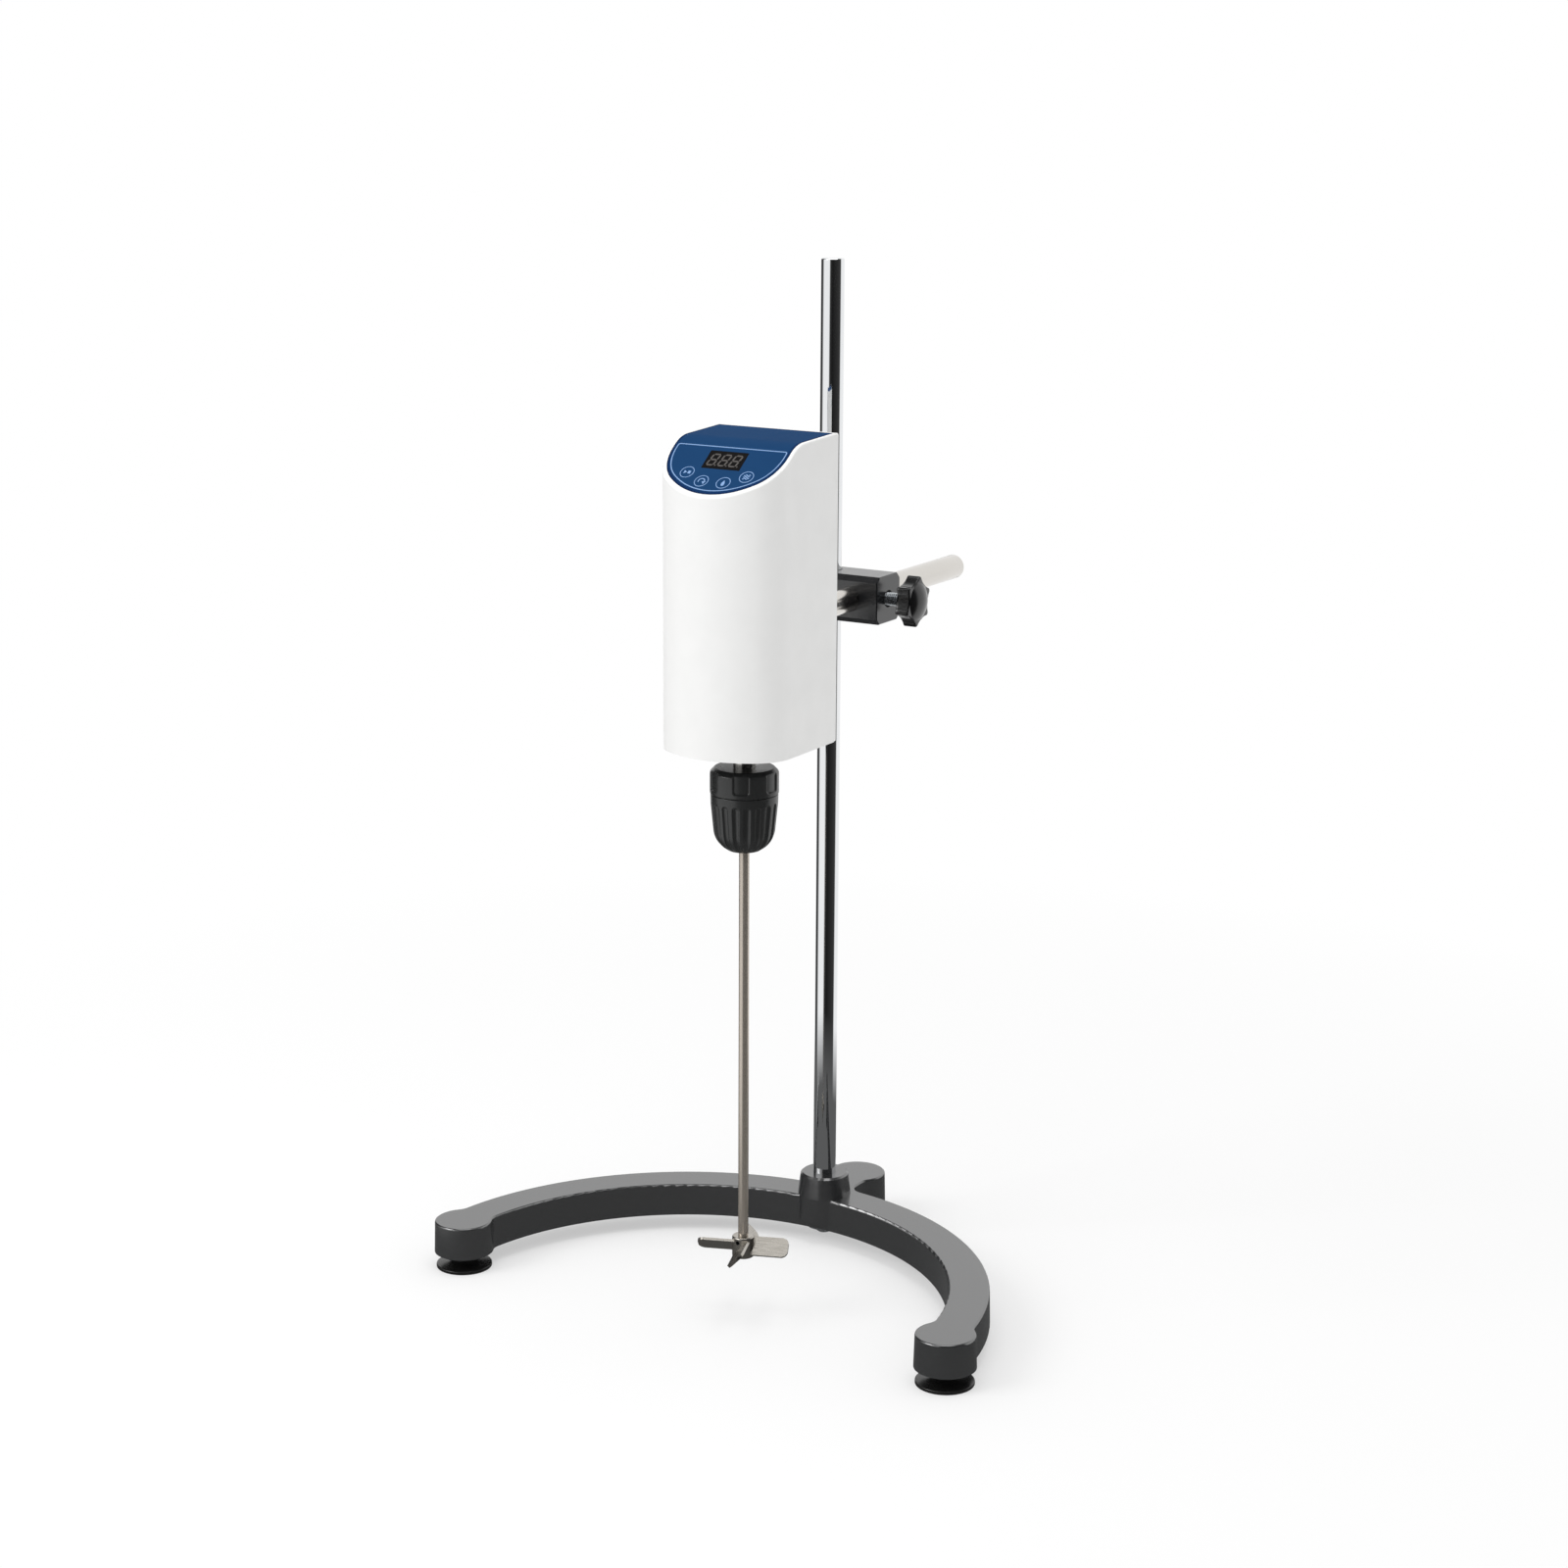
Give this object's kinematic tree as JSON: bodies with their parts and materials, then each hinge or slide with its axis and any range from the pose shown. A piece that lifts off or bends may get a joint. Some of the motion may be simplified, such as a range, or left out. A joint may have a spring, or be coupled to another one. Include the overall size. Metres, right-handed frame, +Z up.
{
  "type": "overhead stirrer",
  "caption": "Bench-top overhead stirrer: drive head with touch panel and keyless chuck, held by a cross clamp on a horseshoe stand, with a stirring shaft and impeller.",
  "frame": {"origin": "on the bench, midway between the object's left and right limits and between its front and rear limits", "axes": "+Z up along the column, -Y to the front where the control panel faces, +X to the right seen from the front"},
  "size_m": [0.369, 0.3, 0.611],
  "materials": {
    "casting": "charcoal powder coat, fine texture",
    "foot_rubber": "glossy moulded rubber",
    "zinc_steel": "zinc-plated steel",
    "black_steel": "blackened steel",
    "column_chrome": "polished chrome-plated rod",
    "clamp_aluminium": "black anodised, satin",
    "knob_plastic": "glossy black moulding",
    "arm_steel": "satin ground stainless rod",
    "collar_plastic": "matt black moulding",
    "shell_white": "white satin moulding",
    "overlay_blue": "printed blue film with light blue symbols",
    "lens_black": "smoked lens",
    "board_green": "solder-masked laminate",
    "module_grey": "moulded display body",
    "digit_grey": "unlit segments",
    "sensor_foam": "conductive foam",
    "part_black": "moulded electronic parts",
    "switch_black": "satin black nylon",
    "frame_steel": "zinc-plated sheet steel",
    "housing_aluminium": "turned aluminium",
    "bearing_steel": "ground bearing steel",
    "motor_steel": "drawn steel can",
    "stator_iron": "laminated electrical steel",
    "spider_rubber": "polyurethane star",
    "spindle_steel": "ground steel",
    "chuck_plastic": "dark grey glass-filled nylon",
    "chuck_steel": "hardened steel",
    "shaft_steel": "stainless rod"
  },
  "bodies": {
    "base": {"base_casting": "casting", "left_foot": "foot_rubber", "right_foot": "foot_rubber", "rear_foot": "foot_rubber", "foot_studs": "zinc_steel", "column_washer": "zinc_steel", "column_bolt": "zinc_steel"},
    "column": {"column": "column_chrome"},
    "clamp": {"clamp_block": "clamp_aluminium"},
    "arm": {"support_arm": "arm_steel", "arm_nut": "zinc_steel"},
    "head": {"arm_collar": "collar_plastic", "front_shell": "shell_white", "rear_cover": "shell_white", "cover_screws": "zinc_steel", "frame_screws": "zinc_steel", "bottom_plate": "shell_white", "bottom_screws": "zinc_steel", "control_overlay": "overlay_blue", "display_window": "lens_black", "display_module": "module_grey", "display_digits": "digit_grey", "display_board": "board_green", "touch_sensors": "sensor_foam", "controller_board": "board_green", "board_parts": "part_black", "board_posts": "zinc_steel", "switch_frame": "switch_black", "power_inlet": "switch_black", "inlet_nut": "zinc_steel", "drive_frame": "frame_steel", "bearing_housing": "housing_aluminium", "housing_screws": "black_steel", "spindle_bearings": "bearing_steel", "motor_can": "motor_steel", "motor_stator": "stator_iron", "motor_bearings": "bearing_steel", "motor_screws": "black_steel"},
    "spindle": {"spindle": "spindle_steel", "retaining_ring": "black_steel", "coupling_lower": "housing_aluminium", "coupling_spider": "spider_rubber", "coupling_upper": "housing_aluminium", "motor_rotor": "motor_steel", "chuck_body": "chuck_steel", "chuck_rear_sleeve": "chuck_plastic"},
    "chuck_sleeve": {"chuck_front_sleeve": "chuck_plastic", "jaw_nut": "chuck_steel"},
    "jaw_1": {"chuck_jaw_1": "chuck_steel"},
    "jaw_2": {"chuck_jaw_2": "chuck_steel"},
    "jaw_3": {"chuck_jaw_3": "chuck_steel"},
    "stir_shaft": {"stirring_shaft": "shaft_steel", "impeller": "shaft_steel", "impeller_screw": "black_steel"},
    "rocker": {"switch_rocker": "switch_black"},
    "arm_stud": {"arm_knob_stud": "zinc_steel"},
    "arm_knob": {"arm_knob": "knob_plastic"},
    "rod_stud": {"rod_knob_stud": "zinc_steel"},
    "rod_knob": {"rod_knob": "knob_plastic"}
  },
  "joints": [
    {"name": "column_swivel", "type": "hinge", "parent": "base", "child": "column", "pos_m": [0, 0.028, 0.02], "axis": [0, 0, 1], "range_deg": [-90, 90]},
    {"name": "clamp_height", "type": "slide", "parent": "column", "child": "clamp", "axis": [0, 0, 1], "range_m": [-0.005, 0.175]},
    {"name": "arm_reach", "type": "slide", "parent": "clamp", "child": "arm", "axis": [0, 1, 0], "range_m": [-0.1, 0.07]},
    {"name": "head_roll", "type": "hinge", "parent": "arm", "child": "head", "pos_m": [0.0205, -0.07, 0.4125], "axis": [0, 1, 0], "range_deg": [-90, 90]},
    {"name": "spindle_spin", "type": "hinge", "parent": "head", "child": "spindle", "pos_m": [0.0205, -0.105, 0.372], "axis": [0, 0, 1], "continuous": true},
    {"name": "chuck_sleeve_turn", "type": "hinge", "parent": "spindle", "child": "chuck_sleeve", "pos_m": [0.0205, -0.105, 0.305], "axis": [0, 0, 1], "range_deg": [0, 1080]},
    {"name": "jaw_1_slide", "type": "slide", "parent": "spindle", "child": "jaw_1", "axis": [0, 0.2588, 0.9659], "range_m": [0, 0.0072]},
    {"name": "jaw_2_slide", "type": "slide", "parent": "spindle", "child": "jaw_2", "axis": [-0.2241, -0.1294, 0.9659], "range_m": [0, 0.0072]},
    {"name": "jaw_3_slide", "type": "slide", "parent": "spindle", "child": "jaw_3", "axis": [0.2241, -0.1294, 0.9659], "range_m": [0, 0.0072]},
    {"name": "shaft_draw", "type": "slide", "parent": "spindle", "child": "stir_shaft", "axis": [0, 0, -1], "range_m": [0, 0.03]},
    {"name": "rocker_tilt", "type": "hinge", "parent": "head", "child": "rocker", "pos_m": [-0.0045, -0.0679, 0.374], "axis": [-1, 0, 0], "range_deg": [0, 20]},
    {"name": "arm_knob_advance", "type": "slide", "parent": "clamp", "child": "arm_stud", "axis": [1, 0, 0], "range_m": [0, 0.0025]},
    {"name": "arm_knob_turn", "type": "hinge", "parent": "arm_stud", "child": "arm_knob", "pos_m": [0.052, 0.028, 0.4125], "axis": [1, 0, 0], "range_deg": [0, 720]},
    {"name": "rod_knob_advance", "type": "slide", "parent": "clamp", "child": "rod_stud", "axis": [-1, 0, 0], "range_m": [0, 0.0025]},
    {"name": "rod_knob_turn", "type": "hinge", "parent": "rod_stud", "child": "rod_knob", "pos_m": [-0.031, 0.028, 0.4125], "axis": [-1, 0, 0], "range_deg": [0, 720]}
  ],
  "couplings": [
    {"joint": "jaw_1_slide", "follows": "chuck_sleeve_turn", "m_per_rad": 0.000381},
    {"joint": "jaw_2_slide", "follows": "chuck_sleeve_turn", "m_per_rad": 0.000381},
    {"joint": "jaw_3_slide", "follows": "chuck_sleeve_turn", "m_per_rad": 0.000381},
    {"joint": "arm_knob_turn", "follows": "arm_knob_advance", "rad_per_m": 5026.5},
    {"joint": "rod_knob_turn", "follows": "rod_knob_advance", "rad_per_m": 5026.5}
  ]
}
